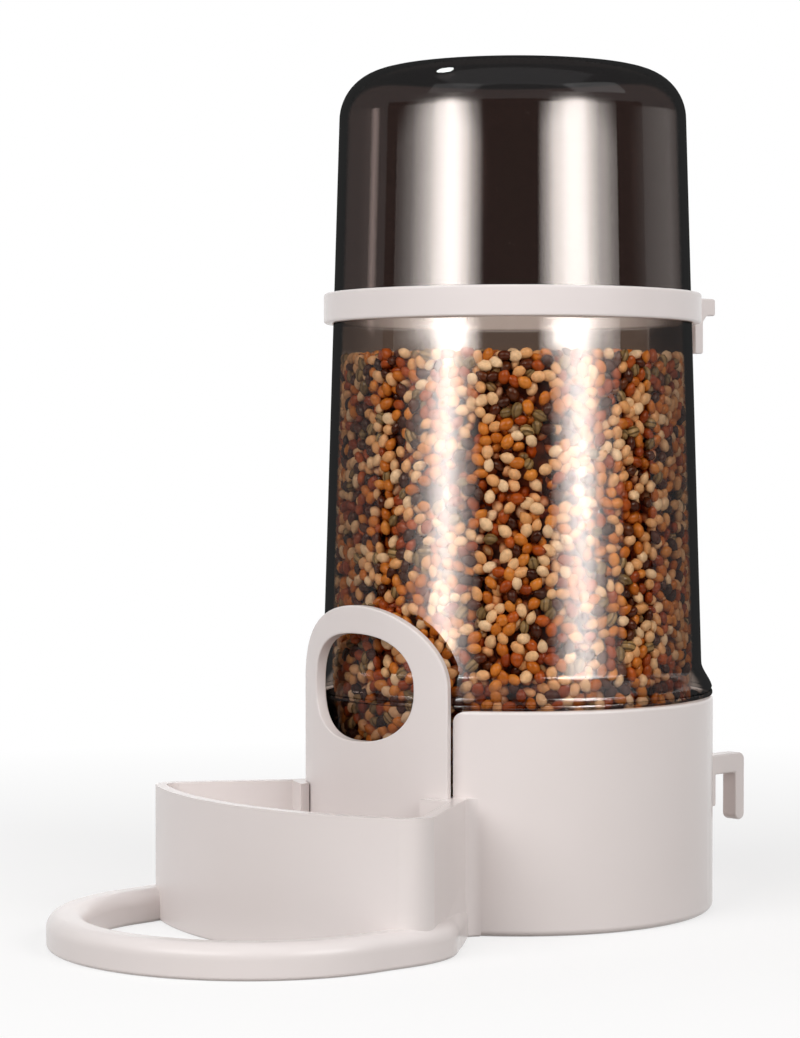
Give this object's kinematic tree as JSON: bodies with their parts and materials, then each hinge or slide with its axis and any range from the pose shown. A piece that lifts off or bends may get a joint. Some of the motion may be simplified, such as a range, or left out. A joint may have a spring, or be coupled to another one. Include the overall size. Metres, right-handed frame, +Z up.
{
  "type": "bird cage seed feeder",
  "caption": "Gravity seed feeder for a bird cage: smoked upturned bottle in a white base with trough, perch ring, sliding gate and cage hooks.",
  "frame": {"origin": "on the floor under the axis of the bottle, at the middle of the cup's flat underside", "axes": "+Z up along the bottle, -Y to the front where the trough and the perch are, +X to the right seen from the front"},
  "size_m": [0.076, 0.1512, 0.1576],
  "materials": {
    "white_plastic": "gloss",
    "gate_plastic": "gloss",
    "collar_plastic": "gloss",
    "smoked_plastic": "clear gloss",
    "seed": "satin"
  },
  "bodies": {
    "base": {"base": "white_plastic", "seed_bed": "seed"},
    "gate": {"gate": "gate_plastic"},
    "bottle": {"bottle": "smoked_plastic", "seed_column": "seed"},
    "collar": {"collar": "collar_plastic"}
  },
  "joints": [
    {"name": "gate_slide", "type": "slide", "parent": "base", "child": "gate", "axis": [0, 0, 1], "range_m": [0, 0.02]},
    {"name": "bottle_lift", "type": "slide", "parent": "base", "child": "bottle", "axis": [0, 0, 1], "range_m": [0, 0.04]},
    {"name": "collar_slide", "type": "slide", "parent": "bottle", "child": "collar", "axis": [0, 0, 1], "range_m": [0, 0.045]}
  ]
}
